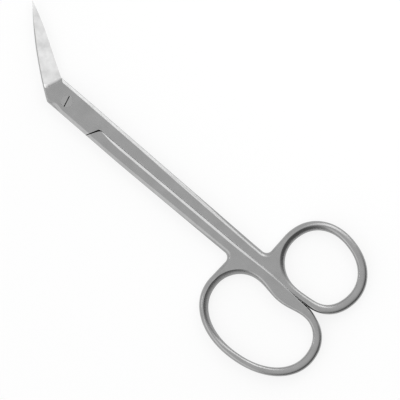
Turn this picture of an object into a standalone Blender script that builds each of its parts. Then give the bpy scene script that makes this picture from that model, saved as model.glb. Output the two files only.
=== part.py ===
"""Angled scissors for dental surgery, built from the pieces that they come apart into.

Two steel halves cross at a lap joint and turn on one slotted screw. Each half is one forging:
a ground blade that leaves the shank at an angle, a lap plate of half thickness, a shank of full
thickness and a finger ring. The front half lies on top and has the small ring. The back half is
drawn in the same way, with its own sizes, and is turned over about the X axis.

Sizes are in millimetres and become metres where a mesh is made. X runs from the screw to the
finger rings, Z is the screw's axis, and Z = 0 is the face that the closed scissors rest on.
A half is drawn with its shank above the X axis and its lap plate at the top face.
"""

import math
from collections import namedtuple

import bmesh
import bpy
import numpy as np

MM = 0.001

# Thickness and running gaps
THICKNESS = 4.4
LAP_GAP = 0.25
PARTING_GAP = 0.2
SHOULDER_GAP = 0.3
SHOULDER_CORNER_GAP = 0.6
SCREW_GAP = 0.08

# Lap joint: the plate ends in a slanting shoulder that stops the scissors when they close
SHOULDER_X = 12.8
SHOULDER_ANGLE = math.radians(62)
SHOULDER_NOTCH_RADIUS = 1.5
SHOULDER_CORNER_RADIUS = 2.6
SHOULDER_EXIT_ANGLE = math.radians(14)
PLATE_CHAMFER = 1.2
PLATE_CHAMFER_START = 0.5
PLATE_CHAMFER_RUN = 2.5

# Shanks: distance of each outer edge from the X axis, at the screw, the waist and the ring
WAIST_X = 28.0
SHANK_END_X = 84.0
FRONT_EDGE_AT_SCREW = 5.2
FRONT_EDGE_AT_WAIST = 4.82
FRONT_EDGE_AT_RING = 4.05
BACK_EDGE_AT_SCREW = 4.65
BACK_EDGE_AT_WAIST = 5.05
BACK_EDGE_AT_RING = 4.85
EDGE_ROUNDING_NEAR = 1.0
EDGE_ROUNDING_FAR = 1.4
EDGE_ROUNDING_REACH = 40.0
EDGE_DROP = 0.9
EDGE_DEEPENING_X = 56.0
INNER_CHAMFER_NEAR = 1.1
INNER_CHAMFER_FAR = 0.35
INNER_SLOPE = math.radians(20)
INNER_NARROWING_START_X = 74.0
INNER_NARROWING_END_X = 100.0

# The line between the closed shanks runs straight, then dips where the two rings part
PARTING_BEND_X = 92.0
PARTING_END_X = 113.0
PARTING_DROP = 0.65
RING_PARTING_ANGLE = math.radians(-32)
ROUNDING_START_X = 103.0
ROUNDING_FULL_X = 120.0
SHANK_ROUNDNESS = 0.5

# Blades, seen from above: both lie on one outline, each passing the other's spine a little
TIP_REACH = 32.9
TIP_RISE = 19.85
BEND_INNER_X = -7.0
BEND_OUTER_X = -5.35
BEND_OUTER_RADIUS = 1.5
SPINE_BOW = 1.2
EDGE_BELLY = 0.55
BELLY_FORWARD = 1.6
BLADE_OVERLAP = 0.5
OVERLAP_FADE = 0.4
OVERLAP_STEP_START_X = -2.2
OVERLAP_STEP_END_X = 1.0

# Blades, in section: a ground face falls from the spine to the cutting edge
GRIND_HEEL_X = -8.4
GRIND_HEEL_Y = -1.2
GRIND_HEEL_ANGLE = math.radians(68)
GRIND_HEEL_EXIT_ANGLE = math.radians(8)
GRIND_HEEL_RADIUS = 1.3
GRIND_HEEL_REACH = 8.0
GRIND_SPINE_DEPTH = 0.35
GRIND_RUNOUT = 1.6
GRIND_OVERRUN = 10.0
CUTTING_LAND = 0.15
TIP_THICKNESS = 0.5

# Finger rings
RING_CROWN = 0.3
RING_DROP = 1.95
RIM_DROP_AT_SHANK = 1.85
RIM_SHIFT_AT_SHANK = 0.3
RIM_ROUNDNESS_AT_SHANK = 0.3
RING_SIDE_FROM = math.radians(150)
RING_SIDE_TO = math.radians(210)
RING_SIDE_STEPS = 121
FRONT_RING_X = 107.7
FRONT_RING_Y = 13.0
FRONT_RING_LENGTH = 27.3
FRONT_RING_WIDTH = 24.1
FRONT_RING_TILT = math.radians(-12.9)
FRONT_RING_SQUARENESS = 2.18
FRONT_RING_BAND_SIDE = 3.15
FRONT_RING_BAND_END = 3.7
FRONT_FINGER_SWELL = 1.5
FRONT_FINGER_SWELL_AT = 6.3
FRONT_FINGER_SWELL_REACH = 6.8
BACK_RING_X = 103.2
BACK_RING_Y = 15.1
BACK_RING_LENGTH = 40.3
BACK_RING_WIDTH = 28.8
BACK_RING_TILT = math.radians(-5.2)
BACK_RING_SQUARENESS = 2.13
BACK_RING_BAND_SIDE = 2.9
BACK_RING_BAND_END = 3.5
BACK_FINGER_SWELL = 5.3
BACK_FINGER_SWELL_AT = 2.1
BACK_FINGER_SWELL_REACH = 11.9
FRONT_CROTCH_X = 90.1
BACK_CROTCH_X = 80.25
CROTCH_RADIUS = 2.3

# Screw
HEAD_DIAMETER = 4.3
HEAD_DEPTH = 0.9
NECK_DIAMETER = 3.0
THREAD_DIAMETER = 2.6
HEAD_EDGE_BREAK = 0.08
SLOT_WIDTH = 0.42
SLOT_DEPTH = 0.6
SLOT_ANGLE = math.radians(103)

# Solids
CUTTER_MARGIN = 1.0
MITRE_TURN = 0.2
SHARP_ANGLE = math.radians(28)
RING_STEPS = 64
EDGE_STEPS = 10
BLADE_STEPS = 8
FILLET_STEPS = 5
SECTION_STEPS = 3
SCREW_STEPS = 48

PLATE_FLOOR = (THICKNESS + LAP_GAP) / 2
TIP = np.array((-TIP_REACH, TIP_RISE))

Ring = namedtuple("Ring", "x y length width tilt squareness band_side band_end"
                          " swell swell_at swell_reach")
Half = namedtuple("Half", "name turn edge other_edge ring crotch_x hole counterbore color")
Run = namedtuple("Run", "points top_inset top_drop bottom_inset bottom_drop roundness")

FRONT_RING = Ring(FRONT_RING_X, FRONT_RING_Y, FRONT_RING_LENGTH, FRONT_RING_WIDTH,
                  FRONT_RING_TILT, FRONT_RING_SQUARENESS, FRONT_RING_BAND_SIDE,
                  FRONT_RING_BAND_END, FRONT_FINGER_SWELL, FRONT_FINGER_SWELL_AT,
                  FRONT_FINGER_SWELL_REACH)
BACK_RING = Ring(BACK_RING_X, BACK_RING_Y, BACK_RING_LENGTH, BACK_RING_WIDTH,
                 BACK_RING_TILT, BACK_RING_SQUARENESS, BACK_RING_BAND_SIDE,
                 BACK_RING_BAND_END, BACK_FINGER_SWELL, BACK_FINGER_SWELL_AT,
                 BACK_FINGER_SWELL_REACH)
FRONT_EDGE = (FRONT_EDGE_AT_SCREW, FRONT_EDGE_AT_WAIST, FRONT_EDGE_AT_RING)
BACK_EDGE = (BACK_EDGE_AT_SCREW, BACK_EDGE_AT_WAIST, BACK_EDGE_AT_RING)
FRONT = Half("front_half", 1, FRONT_EDGE, BACK_EDGE, FRONT_RING, FRONT_CROTCH_X,
             NECK_DIAMETER, True, (0.60, 0.60, 0.59))
BACK = Half("back_half", -1, BACK_EDGE, FRONT_EDGE, BACK_RING, BACK_CROTCH_X,
            THREAD_DIAMETER, False, (0.58, 0.58, 0.57))
SCREW_COLOR = (0.62, 0.62, 0.61)
HALF_ROUGHNESS = 0.32
SCREW_ROUGHNESS = 0.28


# Curves in the plane

def smooth(value):
    """0 below 0, 1 above 1, and a smooth change between."""
    t = np.clip(value, 0, 1)
    return t * t * (3 - 2 * t)


def between(low, high, share):
    return low + (high - low) * share


def share_of(value, start, end):
    """How far the value has come from start to end, with a smooth start and end."""
    return smooth((value - start) / (end - start))


def arc(center, radius, start, end, steps):
    """Points on an arc, from the angle start to the angle end."""
    angles = np.linspace(start, end, steps + 1)
    return np.column_stack((center[0] + radius * np.cos(angles),
                            center[1] + radius * np.sin(angles)))


def fillet(before, corner, after, radius, steps):
    """Points of the arc that rounds a corner between two straight lines."""
    before, corner, after = (np.array(p, float) for p in (before, corner, after))
    arriving = (corner - before) / np.linalg.norm(corner - before)
    leaving = (after - corner) / np.linalg.norm(after - corner)
    turn = math.atan2(arriving[0] * leaving[1] - arriving[1] * leaving[0], arriving @ leaving)
    start = corner - arriving * radius * math.tan(abs(turn) / 2)
    side = math.copysign(1, turn)
    center = start + side * radius * np.array((-arriving[1], arriving[0]))
    first = math.atan2(*(start - center)[::-1])
    return arc(center, radius, first, first + turn, steps)


def edge_height(edge, x):
    """Distance of a shank's outer edge from the X axis."""
    return np.interp(x, (0, WAIST_X, SHANK_END_X), edge)


def inner_height(half, x):
    """The shank's inner edge, just clear of the line between the closed shanks."""
    dip = PARTING_DROP * share_of(x, PARTING_BEND_X, PARTING_END_X)
    return PARTING_GAP / 2 - half.turn * dip


def opening_points(ring, angles):
    """A squarish oval whose lower side swells in, where the fingers bear on the shank."""
    c, s = np.cos(angles), np.sin(angles)
    a, b = ring.length / 2, ring.width / 2
    n = ring.squareness
    radius = (abs(c / a) ** n + abs(s / b) ** n) ** (-1 / n)
    u, v = radius * c, radius * s
    swell = ring.swell * np.exp(-(((u - ring.swell_at) / ring.swell_reach) ** 2))
    v = np.where(v < 0, v * (1 - swell / b), v)
    return np.column_stack((ring.x + u * math.cos(ring.tilt) - v * math.sin(ring.tilt),
                            ring.y + u * math.sin(ring.tilt) + v * math.cos(ring.tilt)))


def band_at(ring, angles):
    """The outward direction of the opening's edge, and the width of the band outside it."""
    step = 0.001
    along = opening_points(ring, angles + step) - opening_points(ring, angles - step)
    along /= np.linalg.norm(along, axis=1)[:, None]
    outward = np.column_stack((along[:, 1], -along[:, 0]))
    width = between(ring.band_side, ring.band_end, outward[:, 0] ** 2)
    return outward, width


def shank_side(angles):
    """1 where the ring leaves the shank, and 0 on its far half."""
    return smooth(-np.cos(angles))


def ring_outer(ring, angles):
    """The ring's outer edge."""
    outward, width = band_at(ring, angles)
    return opening_points(ring, angles) + outward * width[:, None]


def bend(start, start_way, end, end_way, steps):
    """A curve that leaves start along start_way and reaches end along end_way."""
    reach, _ = np.linalg.solve(np.column_stack((start_way, end_way)), end - start)
    corner = start + np.array(start_way) * reach
    t = np.linspace(0, 1, steps + 1)[:, None]
    return (1 - t) ** 2 * start + 2 * t * (1 - t) * corner + t * t * end


# Blade outline, common to both halves

def bend_corners():
    """The bend's two corners: inside it, on the front half's side, and outside it."""
    inner = np.array((BEND_INNER_X, FRONT_EDGE_AT_SCREW))
    outer = np.array((BEND_OUTER_X, -BACK_EDGE_AT_SCREW))
    return inner, outer


def blade_side(corner, bow, inset, steps):
    """Points from a corner of the bend to the tip. inset draws them in behind the cutting edge."""
    share = np.linspace(0, 1, steps + 1)[:, None]
    chord = TIP - corner
    outward = np.array((-chord[1], chord[0])) / np.linalg.norm(chord)
    if corner[1] > 0:
        outward = -outward
    bulge = bow(share) - inset * smooth((1 - share) / OVERLAP_FADE)
    return corner + chord * share + outward * bulge


def spine_bow(share):
    return SPINE_BOW * 4 * share * (1 - share)


def edge_belly(share):
    return EDGE_BELLY * np.sin(math.pi * share ** BELLY_FORWARD)


def blade_outline(half):
    """The half's two blade sides in its own frame: tip to plate, and shank to tip."""
    inner, outer = bend_corners()
    drawn_in = BLADE_OVERLAP
    if half.turn > 0:
        arriving = blade_side(outer, spine_bow, drawn_in, BLADE_STEPS)[::-1]
        leaving = blade_side(inner, edge_belly, 0, BLADE_STEPS)
    else:
        arriving = blade_side(inner, edge_belly, drawn_in, BLADE_STEPS)[::-1]
        leaving = blade_side(outer, spine_bow, 0, BLADE_STEPS)
    turned = np.array((1, half.turn))
    return arriving * turned, leaving * turned


# Outlines of a half. Each run is its points, with how far its edge draws in at the top and bottom

def plate_edge(half, start_x):
    """The lap plate's far edge, with the step that lets the other cutting edge pass."""
    steps = np.linspace(OVERLAP_STEP_START_X, OVERLAP_STEP_END_X, FILLET_STEPS)
    x = np.concatenate(([start_x], steps, [SHOULDER_X]))
    step = share_of(x, OVERLAP_STEP_START_X, OVERLAP_STEP_END_X)
    y = -edge_height(half.other_edge, x) + BLADE_OVERLAP * (1 - step)
    return np.column_stack((x, y))


def shoulder_notch(half, foot):
    """The plate's slanting end, from its foot to the shank's inner edge."""
    rise = inner_height(half, SHOULDER_X) - foot[1]
    corner = foot + np.array((rise / math.tan(SHOULDER_ANGLE), rise))
    after = corner + np.array((1, 0))
    rounding = fillet(foot, corner, after, SHOULDER_NOTCH_RADIUS, FILLET_STEPS)
    return np.vstack((foot, rounding))


def ring_run(half):
    """The ring's outer edge, from where the rings part to where its side leaves for the shank."""
    side = np.linspace(RING_SIDE_FROM, RING_SIDE_TO, RING_SIDE_STEPS)
    last = side[np.argmin(ring_outer(half.ring, side)[:, 0])]
    angles = np.linspace(RING_PARTING_ANGLE, last, RING_STEPS)
    return angles, ring_outer(half.ring, angles)


def inner_run(half, start, ring):
    """The shank's inner edge, from the shoulder to the ring."""
    x = np.linspace(start[0], PARTING_END_X, EDGE_STEPS)
    straight = np.column_stack((x, inner_height(half, x)))
    blend = bend(straight[-1], (1, 0), ring[0], ring[1] - ring[0], FILLET_STEPS)
    return np.vstack((straight, blend[1:]))


def crotch_run(half, ring):
    """The ring's side and the rounding by which it meets the shank's outer edge."""
    foot = np.array((half.crotch_x, edge_height(half.edge, half.crotch_x)))
    along = np.array((WAIST_X, edge_height(half.edge, WAIST_X)))
    return np.vstack((ring[-1], fillet(ring[-1], foot, along, CROTCH_RADIUS, FILLET_STEPS)))


def edge_roundness(x):
    """How oval an outer edge is: 0 is a flat chamfer, and 1 is a full oval rounding."""
    shank = share_of(x, WAIST_X, SHANK_END_X)
    ring = share_of(x, SHANK_END_X, ROUNDING_FULL_X)
    return between(SHANK_ROUNDNESS * shank, 1, ring)


def half_runs(half):
    arriving, leaving = blade_outline(half)
    plate = plate_edge(half, arriving[-1][0])
    arriving[-1] = plate[0]
    notch = shoulder_notch(half, plate[-1])
    angles, ring = ring_run(half)
    inner = inner_run(half, notch[-1], ring)
    crotch = crotch_run(half, ring)
    edge_x = np.linspace(crotch[-1][0], leaving[0][0], EDGE_STEPS)
    edge = np.column_stack((edge_x, edge_height(half.edge, edge_x)))
    corner = np.array(leaving[:1])
    if half.turn < 0:
        corner = fillet(edge[-2], edge[-1], leaving[1], BEND_OUTER_RADIUS, FILLET_STEPS)
        edge[-1], leaving[0] = corner[0], corner[-1]

    chamfer_share = share_of(plate[:, 0], plate[0][0], plate[0][0] + PLATE_CHAMFER_RUN)
    plate_inset = between(PLATE_CHAMFER_START, PLATE_CHAMFER, chamfer_share)
    narrow = share_of(inner[:, 0], INNER_NARROWING_START_X, INNER_NARROWING_END_X)
    chamfer = between(INNER_CHAMFER_NEAR, INNER_CHAMFER_FAR, narrow)
    full = (half.ring.band_side - RING_CROWN) / 2
    part = share_of(inner[:, 0], ROUNDING_START_X, ROUNDING_FULL_X)
    inner_inset = between(chamfer, full, part)
    inner_drop = between(chamfer * math.tan(INNER_SLOPE), RING_DROP, part)
    ring_part = share_of(ring[:, 0], ROUNDING_START_X, ROUNDING_FULL_X)
    ring_part[np.argmax(ring_part):] = 1
    side_width = (band_at(half.ring, angles)[1] - RING_CROWN) / 2
    ring_inset = ring_part * (side_width - RIM_SHIFT_AT_SHANK * shank_side(angles))
    ring_drop = between(INNER_CHAMFER_FAR * math.tan(INNER_SLOPE), RING_DROP, ring_part)
    wide = share_of(edge_x, WAIST_X, WAIST_X + EDGE_ROUNDING_REACH)
    edge_inset = between(EDGE_ROUNDING_NEAR, EDGE_ROUNDING_FAR, wide)
    deep = share_of(edge_x, EDGE_DEEPENING_X, SHANK_END_X)
    edge_drop = between(EDGE_DROP, RING_DROP, deep)
    return [
        Run(arriving, 0, EDGE_DROP, 0, EDGE_DROP, 0),
        Run(plate, plate_inset, EDGE_DROP, 0, EDGE_DROP, 0),
        Run(notch, 0, EDGE_DROP, 0, EDGE_DROP, 0),
        Run(inner, full * part, between(EDGE_DROP, RING_DROP, part), inner_inset, inner_drop,
            part),
        Run(ring, ring_inset, ring_drop, ring_inset, ring_drop, edge_roundness(ring[:, 0])),
        Run(crotch, EDGE_ROUNDING_FAR, RING_DROP, EDGE_ROUNDING_FAR, RING_DROP,
            edge_roundness(crotch[:, 0])),
        Run(edge, edge_inset, edge_drop, edge_inset, edge_drop, edge_roundness(edge_x)),
        Run(corner, 0, EDGE_DROP, 0, EDGE_DROP, 0),
        Run(leaving, 0, EDGE_DROP, 0, EDGE_DROP, 0),
    ]


# Solids

def join_runs(runs):
    """One closed loop of points, with the insets, drops and roundness of each edge."""
    joined = [np.vstack([run.points[:-1] for run in runs if len(run.points) > 1])]
    for field in Run._fields[1:]:
        joined.append(np.concatenate([
            np.broadcast_to(getattr(run, field), len(run.points))[:-1] for run in runs
        ]))
    return Run(*joined)


def inset_directions(points, inset):
    """How far each point moves when each edge of an anticlockwise loop moves in by its inset."""
    edges = np.roll(points, -1, axis=0) - points
    edges /= np.linalg.norm(edges, axis=1)[:, None]
    inward = np.column_stack((-edges[:, 1], edges[:, 0]))
    before, inset_before = np.roll(inward, 1, axis=0), np.roll(inset, 1)
    moves = np.empty_like(points)
    for i, (one, other) in enumerate(zip(before, inward)):
        if abs(one[0] * other[1] - one[1] * other[0]) > MITRE_TURN:
            moves[i] = np.linalg.solve((one, other), (inset_before[i], inset[i]))
        else:
            mean = (one + other) / 2
            moves[i] = mean / (mean @ mean) * (inset_before[i] + inset[i]) / 2
    return moves


def section(loop, top_moves, bottom_moves):
    """Rows of points from the bottom face up the side to the top face."""
    rows = []
    for face, moves, drop in ((-1, bottom_moves, loop.bottom_drop), (1, top_moves, loop.top_drop)):
        side = []
        for t in np.linspace(0, 1, SECTION_STEPS + 1):
            inward = between(t, 1 - math.cos(t * math.pi / 2), loop.roundness)
            upward = between(t, math.sin(t * math.pi / 2), loop.roundness)
            height = THICKNESS / 2 + face * (THICKNESS / 2 - drop * (1 - upward))
            side.append(np.column_stack((loop.points + moves * inward[:, None], height)))
        rows += side[::-1] if face < 0 else side
    return rows


def solid(name, loops):
    """A closed mesh between two flat faces. Each loop is its rows of points, bottom to top."""
    bm = bmesh.new()
    caps = {0: [], -1: []}
    for rows in loops:
        rings = [[bm.verts.new(point * MM) for point in row] for row in rows]
        for lower, upper in zip(rings, rings[1:]):
            for i in range(len(lower)):
                j = (i + 1) % len(lower)
                bm.faces.new((lower[i], lower[j], upper[j], upper[i]))
        for level in caps:
            row = rings[level]
            caps[level] += [bm.edges.get((row[i - 1], row[i])) for i in range(len(row))]
    for edges in caps.values():
        bmesh.ops.triangle_fill(bm, edges=edges, use_beauty=True)
    bmesh.ops.recalc_face_normals(bm, faces=bm.faces)
    return finish_object(name, bm)


def finish_object(name, bm):
    mesh = bpy.data.meshes.new(name)
    bm.to_mesh(mesh)
    bm.free()
    mesh.shade_smooth()
    mesh.set_sharp_from_angle(angle=SHARP_ANGLE)
    made = bpy.data.objects.new(name, mesh)
    bpy.context.scene.collection.objects.link(made)
    return made


def prism(name, outline, low, high):
    """A closed straight-sided solid over an outline."""
    outline = np.asarray(outline, float)
    rows = [np.column_stack((outline, np.full(len(outline), z))) for z in (low, high)]
    return solid(name, [rows])


def rod(name, radius, low, high):
    return prism(name, arc((0, 0), radius, 0, math.tau, SCREW_STEPS)[:-1], low, high)


def loft(name, profiles):
    """A closed solid through a row of outlines that have equally many points."""
    bm = bmesh.new()
    rows = [[bm.verts.new(np.array(point) * MM) for point in profile] for profile in profiles]
    for first, second in zip(rows, rows[1:]):
        for i in range(len(first)):
            j = (i + 1) % len(first)
            bm.faces.new((first[i], first[j], second[j]))
            bm.faces.new((first[i], second[j], second[i]))
    for end in (rows[0], rows[-1]):
        bm.faces.new(end)
    bmesh.ops.recalc_face_normals(bm, faces=bm.faces)
    return finish_object(name, bm)


def cut(target, cutter):
    """Takes the cutter's shape out of the target, and leaves the cutter out of the render."""
    cutter.hide_render = True
    cutter.display_type = "WIRE"
    cutter.parent = target
    modifier = target.modifiers.new(cutter.name, "BOOLEAN")
    modifier.operation = "DIFFERENCE"
    modifier.solver = "EXACT"
    modifier.object = cutter


def lap_cutter(half):
    """The space that the other half's blade and lap plate turn in."""
    slant = np.array((math.cos(SHOULDER_ANGLE), -math.sin(SHOULDER_ANGLE)))
    head = np.array((SHOULDER_X + SHOULDER_GAP / math.sin(SHOULDER_ANGLE),
                     edge_height(half.edge, SHOULDER_X)))
    fall = head[1] - inner_height(half, SHOULDER_X)
    corner = head + slant * fall / math.sin(SHOULDER_ANGLE)
    corner[0] += SHOULDER_CORNER_GAP - SHOULDER_GAP
    leaving = np.array((math.cos(SHOULDER_EXIT_ANGLE), -math.sin(SHOULDER_EXIT_ANGLE)))
    exit_point = corner + leaving * SHOULDER_CORNER_RADIUS
    rounding = fillet(head, corner, exit_point, SHOULDER_CORNER_RADIUS, FILLET_STEPS)
    room = TIP_REACH + THICKNESS
    outline = np.vstack((
        head - slant * THICKNESS,
        rounding,
        exit_point,
        (exit_point[0], -room),
        (-room, -room),
        (-room, room),
        (head[0] - THICKNESS, room),
    ))
    return prism(half.name + "_lap_cutter", outline, -CUTTER_MARGIN, PLATE_FLOOR)


def grind_heel():
    """The line where the ground face ends, from the bend's inner side round to its outer side."""
    way = np.array((math.cos(GRIND_HEEL_ANGLE), math.sin(GRIND_HEEL_ANGLE)))
    leaving = -np.array((math.cos(GRIND_HEEL_EXIT_ANGLE), math.sin(GRIND_HEEL_EXIT_ANGLE)))
    corner = np.array((GRIND_HEEL_X, GRIND_HEEL_Y))
    start = corner + way * GRIND_HEEL_REACH
    end = corner + leaving * GRIND_HEEL_REACH / 2
    rounding = fillet(start, corner, end, GRIND_HEEL_RADIUS, FILLET_STEPS)
    return np.vstack((start, rounding, end))


def grind_height(half):
    """The ground face's plane: height over X and Y, falling from the spine to the cutting edge."""
    inner, outer = bend_corners()
    cutting_edge, spine = (inner, outer) if half.turn > 0 else (outer, inner)
    heights = (PLATE_FLOOR + CUTTING_LAND, THICKNESS - GRIND_SPINE_DEPTH,
               PLATE_FLOOR + TIP_THICKNESS)
    known = np.column_stack((np.array((cutting_edge, spine, TIP)), np.ones(3)))
    slope_x, slope_y, level = np.linalg.solve(known, heights)
    return lambda point: slope_x * point[0] + slope_y * point[1] + level


def grind_cutter(half):
    """The space outside the blade's ground face, with the run-out that the wheel leaves."""
    mirror = np.array((1, 1, 1))
    height = grind_height(half)
    if half.turn < 0:
        mirror = np.array((1, -1, 1))
    middle = sum(bend_corners()) / 2
    reach = np.linalg.norm(TIP - middle)
    toward_tip = (TIP - middle) / reach
    top = THICKNESS + CUTTER_MARGIN
    profiles = []
    for heel in grind_heel():
        points = [(*heel, top)]
        for t in np.linspace(0, 1, FILLET_STEPS):
            place = heel + toward_tip * GRIND_RUNOUT * t
            points.append((*place, between(height(place), THICKNESS, (1 - t) ** 2)))
        end = heel + toward_tip * (reach + GRIND_OVERRUN)
        points += [(*end, height(end)), (*end, top)]
        profiles.append(np.array(points) * mirror)
    return loft(half.name + "_grind_cutter", profiles)


def steel(name, color, roughness):
    material = bpy.data.materials.new(name)
    material.use_nodes = True
    shader = material.node_tree.nodes["Principled BSDF"]
    shader.inputs["Base Color"].default_value = (*color, 1)
    shader.inputs["Metallic"].default_value = 1
    shader.inputs["Roughness"].default_value = roughness
    return material


def build_half(half):
    outline = join_runs(half_runs(half))
    loops = [section(outline, inset_directions(outline.points, outline.top_inset),
                     inset_directions(outline.points, outline.bottom_inset))]

    angles = np.linspace(0, math.tau, RING_STEPS, endpoint=False)
    outward, width = band_at(half.ring, angles)
    near = shank_side(angles)
    rim_inset = (width - RING_CROWN) / 2 + RIM_SHIFT_AT_SHANK * near
    rim_drop = between(RING_DROP, RIM_DROP_AT_SHANK, near)
    rim_roundness = between(1, RIM_ROUNDNESS_AT_SHANK, near)
    moves = outward * rim_inset[:, None]
    rim = Run(opening_points(half.ring, angles), rim_inset, rim_drop, rim_inset, rim_drop,
              rim_roundness)
    loops.append([row[::-1] for row in section(rim, moves, moves)])

    made = solid(half.name, loops)
    cut(made, lap_cutter(half))
    cut(made, grind_cutter(half))
    bore = half.hole / 2 + SCREW_GAP
    top = THICKNESS + CUTTER_MARGIN
    cut(made, rod(half.name + "_bore", bore, -CUTTER_MARGIN, top))
    if half.counterbore:
        seat = THICKNESS - HEAD_DEPTH - SCREW_GAP
        cut(made, rod(half.name + "_seat", HEAD_DIAMETER / 2 + SCREW_GAP, seat, top))
    made.data.materials.append(steel(half.name + "_steel", half.color, HALF_ROUGHNESS))
    if half.turn < 0:
        made.rotation_euler = (math.pi, 0, 0)
        made.location = (0, 0, THICKNESS * MM)
    return made


def build_screw():
    """A stepped pin: thread in the back half, neck and head in the front half, both ends flush."""
    neck_foot = THICKNESS - PLATE_FLOOR + SCREW_GAP
    head_foot = THICKNESS - HEAD_DEPTH
    head = HEAD_DIAMETER / 2
    profile = [
        (THREAD_DIAMETER / 2, 0),
        (THREAD_DIAMETER / 2, neck_foot),
        (NECK_DIAMETER / 2, neck_foot),
        (NECK_DIAMETER / 2, head_foot),
        (head, head_foot),
        (head, THICKNESS - HEAD_EDGE_BREAK),
        (head - HEAD_EDGE_BREAK, THICKNESS),
    ]
    rows = []
    for radius, height in profile:
        circle = arc((0, 0), radius, 0, math.tau, SCREW_STEPS)[:-1]
        rows.append(np.column_stack((circle, np.full(len(circle), height))))
    made = solid("pivot_screw", [rows])
    half_length, half_width = HEAD_DIAMETER, SLOT_WIDTH / 2
    slot = prism("slot_cutter", [(-half_length, -half_width), (half_length, -half_width),
                                 (half_length, half_width), (-half_length, half_width)],
                 THICKNESS - SLOT_DEPTH, THICKNESS + CUTTER_MARGIN)
    slot.rotation_euler = (0, 0, SLOT_ANGLE)
    cut(made, slot)
    made.data.materials.append(steel("screw_steel", SCREW_COLOR, SCREW_ROUGHNESS))
    return made


for old in list(bpy.data.objects):
    bpy.data.objects.remove(old)

build_half(FRONT)
build_half(BACK)
build_screw()
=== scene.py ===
"""Looks of the angled dental scissors: finer halves and screw in satin steel, on a white table.

A piece of the same form stands for each of the model's three nodes. The pieces add softly broken
edges and ground surfaces, a painted highlight along the edges, and painted shade in the screw's
slot and at the shoulder. Sizes are in millimetres and become metres where a mesh is made. The frame
is the part's own: X runs from the screw to the finger rings, Z is the screw's axis, and the closed
scissors rest on Z = 0. Both halves are built with their lap plate on top, and the back half is then
turned over.
"""

import math
from collections import namedtuple

import bmesh
import bpy
import numpy as np
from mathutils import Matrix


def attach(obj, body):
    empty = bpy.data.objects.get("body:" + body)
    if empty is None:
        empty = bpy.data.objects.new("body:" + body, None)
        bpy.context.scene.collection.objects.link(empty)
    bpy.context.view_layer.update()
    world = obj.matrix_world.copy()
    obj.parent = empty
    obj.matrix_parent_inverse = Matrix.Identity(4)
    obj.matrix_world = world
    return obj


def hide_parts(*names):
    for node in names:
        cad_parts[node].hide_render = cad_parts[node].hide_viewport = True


MM = 0.001

# Thickness and running gaps. PLATE_FLOOR is the height of a lap plate's flat face, as it is built.
THICKNESS = 4.4
LAP_GAP = 0.25
PLATE_FLOOR = (THICKNESS + LAP_GAP) / 2
PARTING_GAP = 0.04
SHOULDER_GAP = 0.3
SCREW_GAP = 0.02

# Lap joint
SHOULDER_X = 12.8
SHOULDER_ANGLE = math.radians(62)
SHOULDER_WALL_ANGLE = math.radians(58)
SHOULDER_NOTCH_RADIUS = 1.5
SHOULDER_CORNER_RADIUS = 2.2
SHOULDER_CORNER_RISE = 0.4
SHOULDER_EXIT_ANGLE = math.radians(14)
SHOULDER_GROOVE_WIDTH = 1.0
SHOULDER_GROOVE_DEPTH = 0.12
PLATE_CHAMFER = 1.2
PLATE_CHAMFER_START = 0.5
PLATE_CHAMFER_RUN = 2.5

# Shanks. Each outer edge's distance from the X axis is given at the screw, the waist and the end.
WAIST_X = 28.0
SHANK_END_X = 84.0
FRONT_EDGE = (5.2, 4.82, 4.05)
BACK_EDGE = (4.65, 5.05, 4.85)
EDGE_ROUNDING_NEAR = 1.0
EDGE_ROUNDING_FAR = 1.4
EDGE_ROUNDING_REACH = 40.0
EDGE_DROP = 0.9
EDGE_DEEPENING_X = 56.0
INNER_CHAMFER_START = 0.6
INNER_CHAMFER_NEAR = 1.1
INNER_CHAMFER_FAR = 0.35
INNER_SLOPE = math.radians(20)
INNER_NARROWING_START_X = 74.0
INNER_NARROWING_END_X = 100.0
PARTING_BEND_X = 92.0
PARTING_END_X = 113.0
PARTING_DROP = 0.65
RING_PARTING_ANGLE = math.radians(-32)
ROUNDING_START_X = 103.0
ROUNDING_FULL_X = 120.0
SHANK_ROUNDNESS = 0.5
CREASE = 0.14
INNER_CREASE = 0.05

# Blades
TIP = np.array((-32.9, 19.85))
BEND_INNER = np.array((-7.0, 5.2))
BEND_OUTER = np.array((-5.35, -4.65))
BEND_OUTER_RADIUS = 1.5
SPINE_BOW = 1.2
EDGE_BELLY = 0.55
BELLY_FORWARD = 1.6
BLADE_OVERLAP = 0.5
OVERLAP_FADE = 0.4
OVERLAP_STEP_START_X = -2.2
OVERLAP_STEP_END_X = 1.0
GRIND_HEEL_X = -8.4
GRIND_HEEL_Y = -1.2
GRIND_HEEL_ANGLE = math.radians(68)
GRIND_HEEL_EXIT_ANGLE = math.radians(8)
GRIND_HEEL_RADIUS = 1.3
GRIND_HEEL_REACH = 8.0
GRIND_LENGTH = 43.0
GRIND_SPINE_DEPTH = 0.35
GRIND_RUNOUT = 1.6
CUTTING_LAND = 0.15
TIP_THICKNESS = 0.5

# Finger rings
RING_CROWN = 0.3
RING_DROP = 1.95
RING_SECTION_SQUARENESS = 2.6
RIM_SHIFT_AT_SHANK = 0.3
RING_SIDE_FROM = math.radians(150)
RING_SIDE_TO = math.radians(210)
RING_SIDE_STEPS = 121
FRONT_CROTCH_X = 90.1
BACK_CROTCH_X = 80.25
CROTCH_RADIUS = 2.3

# Screw
HEAD_DIAMETER = 4.3
HEAD_DEPTH = 0.9
NECK_DIAMETER = 3.0
THREAD_DIAMETER = 2.6
HEAD_EDGE_BREAK = 0.05
SLOT_WIDTH = 0.42
SLOT_DEPTH = 0.6
SLOT_ANGLE = math.radians(103)

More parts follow.
